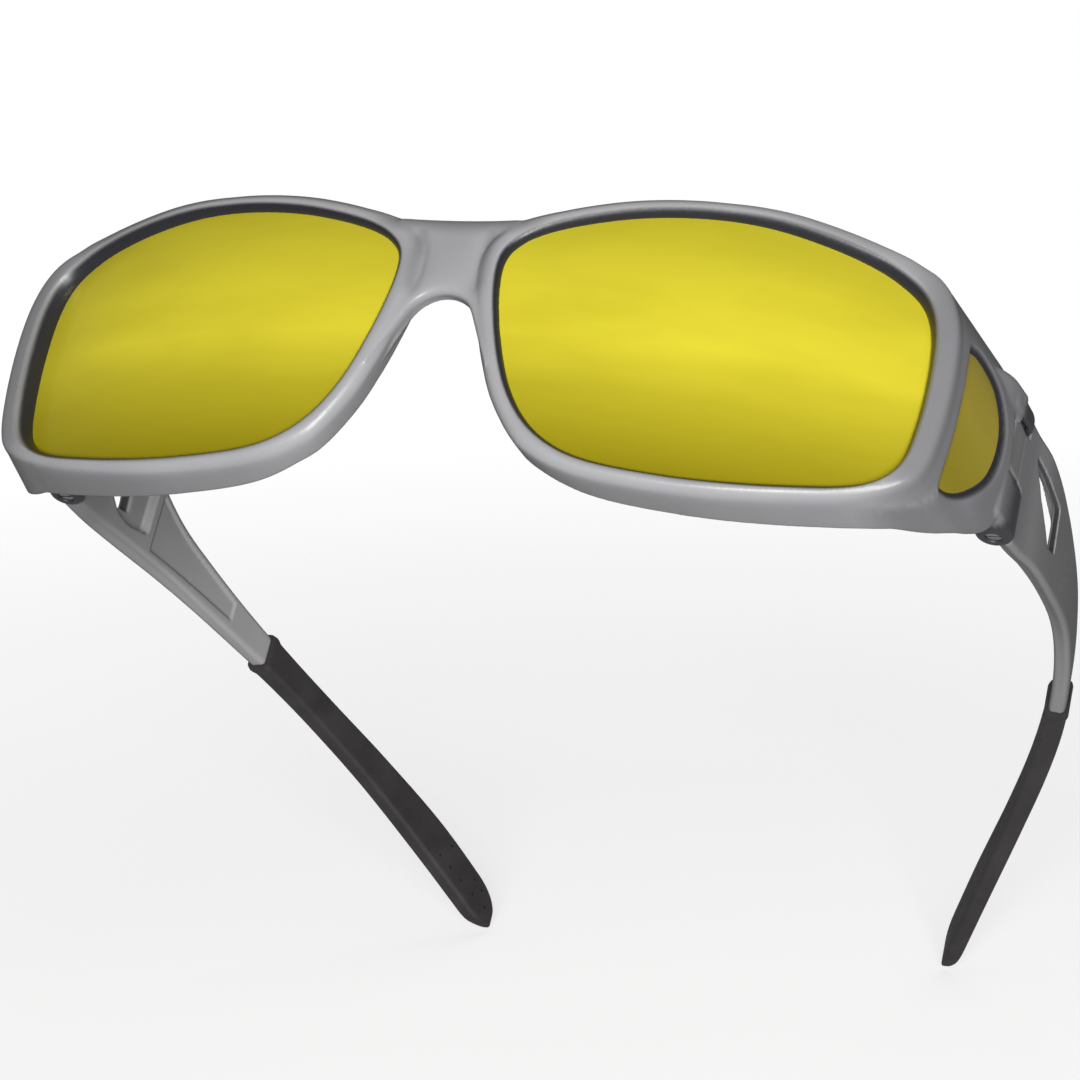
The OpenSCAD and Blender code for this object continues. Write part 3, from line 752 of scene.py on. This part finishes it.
def soft_joins(s, p):
    """Weights of the soft blends at the bridge, at the lugs' roots and round the side windows."""
    across, behind = np.abs(p[:, 0]), p[:, 1] - s.shield_rear
    bridge = (1 - ease(across, 10.5, 13.5)) * ease(p[:, 2], 20, 25)
    roots = ease(across, 71, 73) * ease(behind, -14, -12) * (1 - ease(behind, 1, 2.5)) * ease(p[:, 2], 30, 33)
    away = outline_distance(p[:, [1, 2]], s.window)
    bezel = 0.6 * (1 - ease(np.abs(away - 0.8), 1.0, 1.8)) * ease(across, 71, 72)
    return np.max([bridge, roots, bezel], axis=0)


def outline_distance(points, outline):
    """Distances of points from a closed outline, positive outside it."""
    a, b = outline, np.roll(outline, -1, 0)
    best = np.full(len(points), 1e9)
    inside = np.zeros(len(points), bool)
    for p, q in zip(a, b):
        d = q - p
        t = np.clip(((points - p) @ d) / (d @ d), 0, 1)
        best = np.minimum(best, np.linalg.norm(points - p - t[:, None] * d, axis=1))
        crosses = (p[1] > points[:, 1]) != (q[1] > points[:, 1])
        if p[1] != q[1]:
            inside ^= crosses & (points[:, 0] < p[0] + (points[:, 1] - p[1]) * d[0] / d[1])
    return np.where(inside, -best, best)


def ease(value, low, high):
    """Smooth step from 0 at low to 1 at high."""
    t = np.clip((value - low) / (high - low), 0, 1)
    return t * t * (3 - 2 * t)


def paint_front_shade(s, front):
    """Paints shade into the front's colour: in the bevels round the lenses and the side windows, on the lugs,
    and on the shields, cheeks, outer crests and the bridge's top and folds.
    """
    p = millimetres(s, front)
    x, y, z = np.abs(p[:, 0]), p[:, 1], p[:, 2]
    flat = np.stack([x, z], 1)
    away, forward = outline_distance(flat, s.edge), s.face(x, z) - y
    to_place = flat - s.edge.mean(0)
    share = np.clip(to_place / np.linalg.norm(to_place, axis=1)[:, None], 0, 1)
    reach = 0.9 + 1.0 * share[:, 0] + 0.35 * share[:, 1]
    # Painted shade: each mask darkens the plastic where shade falls, from 0 for none to 1 for the full shade
    # colour
    lens_bevel_shade = (1 - ease(away, 0.55 * reach, reach)) * ease(forward, -0.4, 0.1)
    beside = outline_distance(p[:, [1, 2]], s.window)
    window_bevel_shade = (1 - ease(beside, 0.6, 1.9)) * ease(x, 72.8, 73.4) * ease(y, 15, 16)
    lugs = 0.93 * ease(y, s.shield_rear - 0.5, s.shield_rear + 2.5)
    shields = 0.45 * ease(y, 15, 32) * ease(x, 70, 74)
    cheek_shade = 0.5 * ease(x, 60, 73) * (1 - ease(z, 9, 18)) * ease(-forward, -1, 2)
    crests = 0.42 * ease(x, 64, 75) * ease(forward, -2, 1)
    bridge_top_shade = 0.45 * ease(z, 39, 42) * (1 - ease(x, 8, 16))
    bridge_fold_shade = 0.3 * np.exp(-((x - 5.6) / 1.2) ** 2) * ease(z, 28, 31)
    parts = [lens_bevel_shade, window_bevel_shade, lugs, shields, cheek_shade, crests, bridge_top_shade, bridge_fold_shade]
    mark_painted_shade(front, np.max(parts, axis=0))


def millimetres(s, obj):
    """Places of a mesh's points in millimetres of the front's own frame."""
    co = np.empty(len(obj.data.vertices) * 3, np.float32)
    obj.data.vertices.foreach_get("co", co)
    return co.reshape(-1, 3).astype(float) / MM - [0, s.shift, 0]


def mark_painted_shade(obj, depth):
    """Keeps the painted shade, from 0 to 1, that darkens the plastic's colour."""
    attribute = obj.data.attributes.new("painted_shade_mark", "FLOAT", "POINT")
    attribute.data.foreach_set("value", depth.astype(np.float32))


class GLASSES_OT_front(bpy.types.Operator):
    """Builds the moulded front with its bridge, side shields and hinge lugs"""

    bl_idname = "glasses.front"
    bl_label = "Front"

    def execute(self, context):
        s, sizes = Shape(context.scene), context.scene.glasses_front
        half = hoop("rim", rim_rings(s))
        cut(half, side_plate("window_room", s, 0, 0, -s.wall - 3, 3),
            side_plate("bevel_room", s, -0.1, 1.6, -1.0, 0.15))
        circles = [(s.hinge_x, s.hinge_y, LUG_RADIUS), (*on_shield(s, -s.wall / 2, -1), s.wall / 2)]
        lugs = [shoulder(s)] + [rounded_block("lug", s, circles, levels) for levels in (LOWER_LUG, UPPER_LUG)]
        for piece in (half, *lugs):
            cut(piece, *leaf_seat(s))
        half = join("half_front", half, *lugs)
        other = mirrored(half, "other_half")
        bridge = bridge_shell(s)
        for sign in (1, -1):
            opening = (s.edge + 1.5 * s.out) * [sign, 1]
            cut(bridge, skin("opening", s, [[(x, y, z) for x, z in opening] for y in (-30, 30)]))
        front = join("moulded_front", half, other, bridge)
        mould(front, sizes.voxel, s, soft_joins)
        paint_front_shade(s, front)
        painted(front, plastic_material(tuple(sizes.colour), tuple(sizes.shade)))
        finish_piece(front, "front", "frame_plastic", "front_frame")
        return {"FINISHED"}


class GLASSES_OT_lenses(bpy.types.Operator):
    """Builds the two main lenses and the two side windows' lenses"""

    bl_idname = "glasses.lenses"
    bl_label = "Lenses"

    def execute(self, context):
        s, sizes = Shape(context.scene), context.scene.glasses_lens
        deep = tuple(sizes.deep)
        mirror = lens_material("yellow_mirror_lens", tuple(sizes.bright), deep)
        amber = lens_material("amber_side_lens", tuple(sizes.side_painted_reflection_tint), deep)
        edge = s.edge + s.seat * s.out
        middle = np.array([s.gap / 2 + s.lens_w / 2, s.mid_z])
        shares = np.concatenate([np.linspace(0.06, 0.94, 14), [0.985, 1.0]])
        layers, ends = [], []
        for depth, order in ((0, shares), (s.lens_t, shares[::-1])):
            for share in order:
                x, z = (middle + share * (edge - middle)).T
                layers.append(np.stack([x, s.face(x, z) + depth, z], 1))
            ends.append([middle[0], float(s.face(*middle)) + depth, middle[1]])
        main = shell("mirror_lens_right", s.place(layers), s.place(ends))
        small = side_plate("side_glass_right", s, 0.8, 0.8, -1.7, -0.9, (0.06, 0.3, 0.5, 0.7, 0.85, 0.97, 1))
        for piece, node, material in ((main, "lens", mirror), (small, "side_lens", amber)):
            smooth(piece)
            painted(piece, material)
            finish_pair(piece, "front", "front", "lens_tint", node)
        return {"FINISHED"}


# Temples

def temple_at(u):
    """Row of the temple's table at the running number u."""
    return open_curve(TEMPLE_CURVE, u)


def temple_section(s, u, grow, shrink=1.0):
    """Rounded section of a temple at the running number u of its curve, grown by a width."""
    distance, shift, low, high, share, bevel = temple_at(u)
    a, b = temple_at(max(u - 0.02, 0)), temple_at(min(u + 0.02, LAST))
    slant = math.hypot(1, (b[1] - a[1]) / (b[0] - a[0]))
    half_t = (s.temple_t * share / 2 + grow) * slant * shrink
    half_h = ((high - low) / 2 + grow) * shrink
    r = min(0.9, half_t * 0.8, half_h * 0.8)
    corners = []
    for sx, sz, start, rise in ((1, 1, 0, 0), (-1, 1, 90, 0), (-1, -1, 180, bevel), (1, -1, 270, 0)):
        turn = np.radians(np.linspace(start, start + 90, 9))
        x, z = sx * (half_t - r) + r * np.cos(turn), sz * (half_h - r) + r * np.sin(turn) + rise
        corners.append(np.stack([x, z], 1))
    outline = []
    for corner, following in zip(corners, corners[1:] + corners[:1]):
        outline += list(corner)
        outline += [corner[-1] + (following[0] - corner[-1]) * m / 8 for m in range(1, 8)]
    if distance > 0:
        distance *= s.temple_l / TEMPLE_CURVE[-1][0]
    return [(s.hinge_x + shift + x, s.hinge_y + distance, (low + high) / 2 + z) for x, z in outline]


def rounded_outline(points, radius):
    """Outline with each corner rounded."""
    p, out = np.array(points, float), []
    for before, corner, after in zip(np.roll(p, 1, 0), p, np.roll(p, -1, 0)):
        a, b = (side / np.linalg.norm(side) for side in (before - corner, after - corner))
        half = math.acos(np.clip(a @ b, -1, 1)) / 2
        reach = radius / math.tan(half)
        start, end = corner + a * reach, corner + b * reach
        for t in np.linspace(0, 1, 6):
            out.append((1 - t) ** 2 * start + 2 * t * (1 - t) * corner + t * t * end)
    return out


def temple_faces(s, count=200, first=0.0, last=5.0):
    """Rows of distance behind the hinge, inner face, outer face, lower edge and upper edge of a temple."""
    rows = []
    for u in np.linspace(first, last, count):
        distance, shift, low, high, share, _ = temple_at(u)
        middle, half = s.hinge_x + shift, s.temple_t * share / 2
        rows.append((distance, middle - half, middle + half, low, high))
    return np.array(rows)


def inner_pocket(s):
    """Room on a temple's inner side that leaves a thin wall round the opening."""
    outline, faces = rounded_outline(POCKET, 1.2), temple_faces(s)
    inner = [(s.hinge_x - 9, s.hinge_y + y, z) for y, z in outline]
    outer = [(np.interp(y, faces[:, 0], faces[:, 2]) - THIN_WALL, s.hinge_y + y, z) for y, z in outline]
    return skin("pocket", s, [inner, outer])


def inner_panel(s):
    """Shallow sunk panel along a temple's inner face, left bare."""
    rings = []
    for y, inner, _, low, high in temple_faces(s, 50, 3.35, 5.6):
        away, floor, low, high = inner - 1.5, inner + PANEL_DEPTH, low + 2.4, high - 1.5
        corners = [(away, low), (away, high), (floor, high), (floor, low)]
        ring = []
        for (x1, z1), (x2, z2) in zip(corners, corners[1:] + corners[:1]):
            ring += [(x1 + (x2 - x1) * k / 4, s.hinge_y + y, z1 + (z2 - z1) * k / 4) for k in range(4)]
        rings.append(ring)
    return skin("panel_room", s, rings)


def hinge_rooms(s):
    """Rooms for the lugs, the knuckle and its plate at the front end of a temple."""
    cx, cy = s.hinge_x, s.hinge_y
    rooms = []
    for low, high in ((14, 25), (33.6, 43)):
        rooms.append(rod("lug_room", s, (cx, cy), LUG_RADIUS + TEMPLE_GAP, low, high))
        rooms.append(box("front_room", s, (cx - 10, cy - 20, low), (cx + 10, cy, high)))
    rooms.append(rod("knuckle_room", s, (cx, cy), KNUCKLE_ROOM, 24, 34.6))
    rooms.append(box("inner_room", s, (cx - 10, cy - 20, 24), (cx, cy + KNUCKLE_ROOM, 34.6)))
    rooms.append(box("plate_room", s, (cx - 10.9, cy, 25.7), (cx + 0.1, cy + 5.5, 32.9)))
    rounding = box("rounding", s, (cx - 10, cy - 20, 0), (cx + 10, cy, 50))
    rooms.append(cut(rounding, rod("round_front", s, (cx, cy), SHIELD_TO_HINGE - TEMPLE_GAP, -1, 51, 96)))
    return rooms


def paint_temple_shade(s, temple):
    """Paints shade into a temple's colour: darker at its front part, and dark on the sides of its opening."""
    p = millimetres(s, temple)
    back = p[:, 1] - s.hinge_y
    window = np.array(rounded_outline(TEMPLE_WINDOW, 0.6))
    edge = np.abs(outline_distance(np.stack([back, p[:, 2]], 1), window))
    faces = temple_faces(s)
    sunk = np.interp(back, faces[:, 0], faces[:, 2]) - p[:, 0]
    walls = ease(sunk, 0.05, 0.35) * (1 - ease(sunk, 1.1, 1.35)) * (1 - ease(edge, 1.2, 1.6))
    # Painted shade: 0.3 at the front end, fading out by 34 mm behind the hinge, and 0.9 on the opening's
    # walls
    mark_painted_shade(temple, np.maximum(0.3 * (1 - ease(back, 8, 34)), 0.9 * walls))


class GLASSES_OT_temples(bpy.types.Operator):
    """Builds the two temples with the openings behind their hinges"""

    bl_idname = "glasses.temples"
    bl_label = "Temples"

    def execute(self, context):
        s = Shape(context.scene)
        mouth = sleeve_mouth(s)
        rings = [temple_section(s, u, 0) for u in np.linspace(0, mouth, 90)]
        rings += [temple_section(s, u, -TAIL_INSET) for u in np.linspace(mouth + 0.01, LAST - 0.35, 50)]
        temple = skin("temple_arm_right", s, rings)
        window = [(s.hinge_y + y, z) for y, z in rounded_outline(TEMPLE_WINDOW, 0.6)]
        faces = [[(s.hinge_x + 3.3 - x, y + 0.8 * x, z + 0.45 * x) for y, z in window] for x in (6, -3)]
        cut(temple, skin("opening", s, faces), inner_pocket(s), inner_panel(s), *hinge_rooms(s))
        mould(temple, context.scene.glasses_front.voxel, s)
        paint_temple_shade(s, temple)
        painted(temple, bpy.data.materials["satin_grey_plastic"])
        finish_pair(temple, "temple_right", "temple_left", "frame_plastic", "temple")
        return {"FINISHED"}


def sleeve_mouth(s):
    """Running number of the temple's curve where the sleeve starts."""
    return 6 + (s.bare - 65) / 13


def sleeve_holes(s):
    """Round bars that sink the small holes into the inner face of a sleeve near its tip."""
    places = np.array([temple_at(u) for u in np.linspace(6, LAST, 300)])
    bars = []
    for distance, height in SLEEVE_HOLES:
        i = int(np.argmin(np.abs(places[:, 0] - distance)))
        c, slope = places[i], (places[i + 1, 1] - places[i, 1]) / (places[i + 1, 0] - places[i, 0])
        inner = s.hinge_x + c[1] - (s.temple_t * c[4] / 2 + SLEEVE_GROWTH) * math.hypot(1, slope)
        deselect()
        bpy.ops.mesh.primitive_cylinder_add(
            vertices=24, radius=HOLE_RADIUS * MM, depth=HOLE_LENGTH * MM,
            location=s.place((inner, s.hinge_y + distance, height)),
            rotation=(0, math.pi / 2, -math.atan(slope)))
        bpy.ops.object.transform_apply()
        bars.append(bpy.context.object)
    return join("sleeve_holes", *bars)


class GLASSES_OT_sleeves(bpy.types.Operator):
    """Builds the soft sleeves on the temples' tails"""

    bl_idname = "glasses.sleeves"
    bl_label = "Sleeves"

    def execute(self, context):
        s, sizes = Shape(context.scene), context.scene.glasses_temple
        mouth = sleeve_mouth(s)
        rings = [temple_section(s, u, SLEEVE_GROWTH - s.sleeve) for u in np.linspace(LAST - 0.3, mouth, 60)]
        for u in np.linspace(mouth, LAST, 140):
            t = max(0.0, (u - (LAST - 0.45)) / 0.45)
            lip = SLEEVE_LIP * math.exp(-((u - mouth - 0.07) / 0.06) ** 2)
            rings.append(temple_section(s, u, SLEEVE_GROWTH + lip, math.sqrt(max(1 - t * t, 0.01))))
        rings = np.array(rings)
        # A soft turn keeps the tip above the base
        rings[..., 2] = (rings[..., 2] + np.hypot(rings[..., 2], TIP_TURN)) / 2
        sleeve = cut(skin("soft_sleeve_right", s, rings), sleeve_holes(s))
        smooth(sleeve)
        painted(sleeve, rubber_material(tuple(sizes.sleeve_colour)))
        finish_pair(sleeve, "temple_right", "temple_left", "sleeve_rubber", "sleeve")
        return {"FINISHED"}


class GLASSES_OT_hinges(bpy.types.Operator):
    """Gives the hinge metal its brushed finish"""

    bl_idname = "glasses.hinges"
    bl_label = "Hinges"

    def execute(self, context):
        steel = steel_material(tuple(context.scene.glasses_temple.steel_colour))
        for name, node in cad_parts.items():
            if "leaf" in name or "screw" in name:
                painted(node, steel)
        return {"FINISHED"}


def aim_camera(scene, lens):
    """Puts the camera where the photograph was taken from."""
    right, forward = Vector(CAMERA_RIGHT).normalized(), Vector(CAMERA_FORWARD).normalized()
    up = right.cross(forward).normalized()
    right = forward.cross(up)
    deselect()
    bpy.ops.object.camera_add(location=CAMERA_PLACE)
    camera = bpy.context.object
    camera.rotation_mode = "QUATERNION"
    camera.rotation_quaternion = Matrix((right, up, -forward)).transposed().to_quaternion()
    camera.data.lens, camera.data.sensor_width = lens, 36
    camera.data.clip_start, camera.data.clip_end = 0.01, 20
    scene.camera = camera


def lay_floor(tilt):
    """Tilted pale floor that touches the lower edge of the sleeves' tips."""
    normal = Vector((0, -math.sin(tilt), math.cos(tilt)))
    touch = Vector((0, CAD_BOX[1][1], 0)) - normal * FLOOR_GAP
    deselect()
    bpy.ops.mesh.primitive_plane_add(size=FLOOR_SIZE, location=touch, rotation=(tilt, 0, 0))
    floor = bpy.context.object
    floor.name = "pale_floor"
    painted(floor, floor_material())


def light_surround(scene, strength):
    """Soft light all round that the camera sees as white."""
    world = bpy.data.worlds.new("pale_surround")
    scene.world = world
    world.use_nodes = True
    nodes, links = world.node_tree.nodes, world.node_tree.links
    nodes.clear()
    kinds = ("OutputWorld", "LightPath", "Math", "MixShader")
    out, path, white, mix = (nodes.new("ShaderNode" + kind) for kind in kinds)
    white.operation = "MAXIMUM"
    links.new(path.outputs["Is Camera Ray"], white.inputs[0])
    links.new(path.outputs["Is Transmission Ray"], white.inputs[1])
    links.new(white.outputs["Value"], mix.inputs["Fac"])
    for place, value in ((1, strength), (2, 1.0)):
        background = nodes.new("ShaderNodeBackground")
        background.inputs["Strength"].default_value = value
        background.inputs["Color"].default_value = (1, 1, 1, 1)
        links.new(background.outputs["Background"], mix.inputs[place])
    links.new(mix.outputs["Shader"], out.inputs["Surface"])


def hang_lamp(name, place, size, power):
    """Square soft lamp that shines at the glasses."""
    deselect()
    bpy.ops.object.light_add(type="AREA", location=Vector(LIT_PLACE) + Vector(place))
    lamp = bpy.context.object
    lamp.name = name
    lamp.data.size, lamp.data.energy = size, power
    lamp.rotation_mode = "QUATERNION"
    lamp.rotation_quaternion = (-Vector(place)).to_track_quat("-Z", "Y")


class GLASSES_OT_stage(bpy.types.Operator):
    """Sets the camera, the floor, the lamps and the pale surround"""

    bl_idname = "glasses.stage"
    bl_label = "Stage"

    def execute(self, context):
        scene, sizes = context.scene, context.scene.glasses_stage
        scene.view_settings.view_transform = "Standard"
        aim_camera(scene, sizes.lens)
        lay_floor(sizes.tilt)
        light_surround(scene, sizes.surround)
        hang_lamp("front_lamp", FRONT_LAMP, FRONT_LAMP_SIZE, sizes.lamp)
        hang_lamp("top_lamp", TOP_LAMP, TOP_LAMP_SIZE, sizes.top_lamp)
        return {"FINISHED"}


class GLASSES_PT_panel(bpy.types.Panel):
    bl_label = "Glasses"
    bl_idname = "GLASSES_PT_panel"
    bl_space_type = "VIEW_3D"
    bl_region_type = "UI"
    bl_category = "Glasses"

    def draw(self, context):
        layout = self.layout
        for group in GROUPS:
            settings = getattr(context.scene, group)
            for name in settings.__annotations__:
                layout.prop(settings, name)
        for operator in OPERATORS:
            layout.operator(operator.bl_idname)


GROUPS = {"glasses_front": FrontSizes, "glasses_lens": LensSizes,
          "glasses_temple": TempleSizes, "glasses_stage": StageSizes}
OPERATORS = (GLASSES_OT_front, GLASSES_OT_lenses, GLASSES_OT_temples,
             GLASSES_OT_sleeves, GLASSES_OT_hinges, GLASSES_OT_stage)


def register():
    for cls in (*GROUPS.values(), *OPERATORS, GLASSES_PT_panel):
        bpy.utils.register_class(cls)
    for name, cls in GROUPS.items():
        setattr(bpy.types.Scene, name, PointerProperty(type=cls))


def unregister():
    for name in GROUPS:
        delattr(bpy.types.Scene, name)
    for cls in (GLASSES_PT_panel, *reversed(OPERATORS), *GROUPS.values()):
        bpy.utils.unregister_class(cls)


def main():
    register()
    bpy.ops.glasses.front()
    bpy.ops.glasses.lenses()
    bpy.ops.glasses.temples()
    bpy.ops.glasses.sleeves()
    bpy.ops.glasses.hinges()
    bpy.ops.glasses.stage()
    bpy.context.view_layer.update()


if __name__ == "__main__":
    main()
